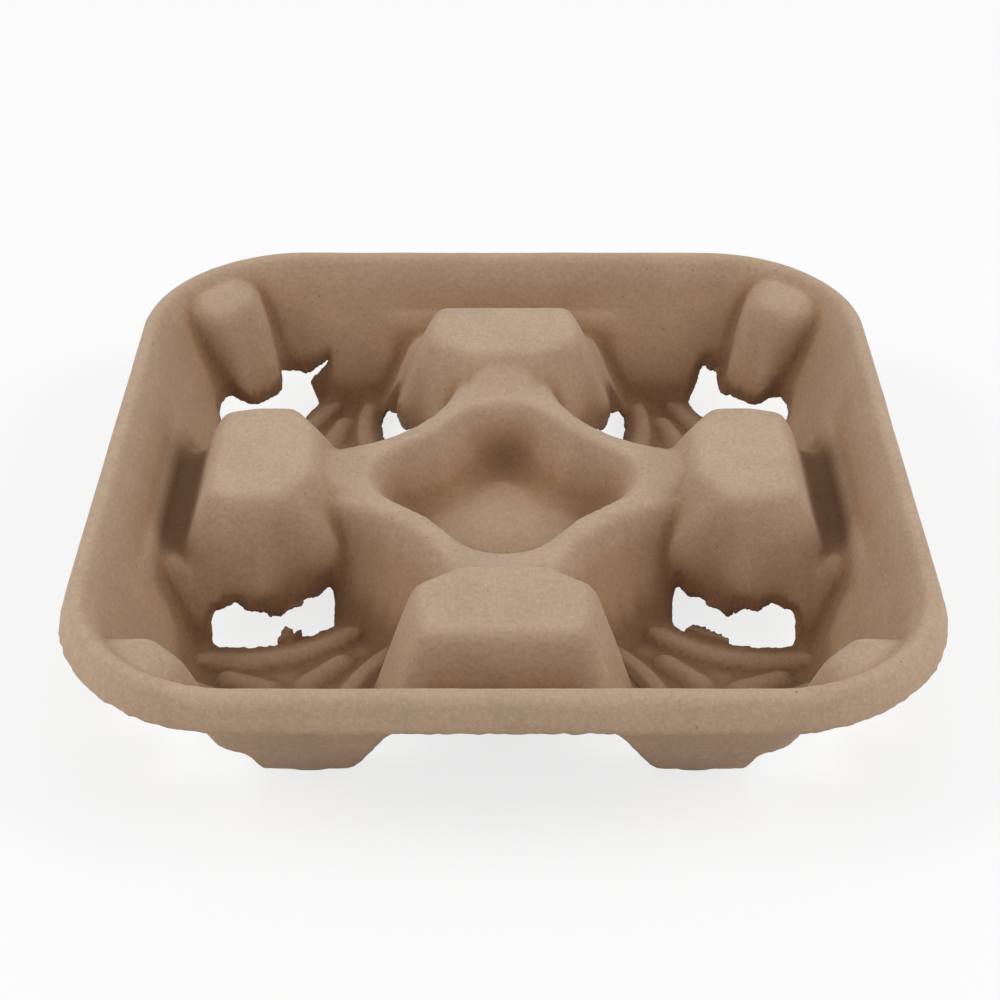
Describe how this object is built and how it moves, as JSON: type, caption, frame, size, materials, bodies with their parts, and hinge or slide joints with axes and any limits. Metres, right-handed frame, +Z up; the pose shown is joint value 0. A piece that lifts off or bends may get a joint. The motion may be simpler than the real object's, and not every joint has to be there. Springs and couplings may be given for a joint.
{
  "type": "cup carrier",
  "caption": "Square moulded-pulp drinks carrier with round cup pockets at its corners, gripping towers and fingers between them, a shared centre well and a rolled rim.",
  "frame": {"origin": "centre of the tray on the surface that its feet stand on", "axes": "+Z up through the open side, +X and +Y square to two neighbouring sides of the tray"},
  "size_m": [0.215, 0.215, 0.045],
  "materials": {
    "pulp": "matte"
  },
  "bodies": {
    "root": {"pulp_tray": "pulp"}
  },
  "joints": []
}
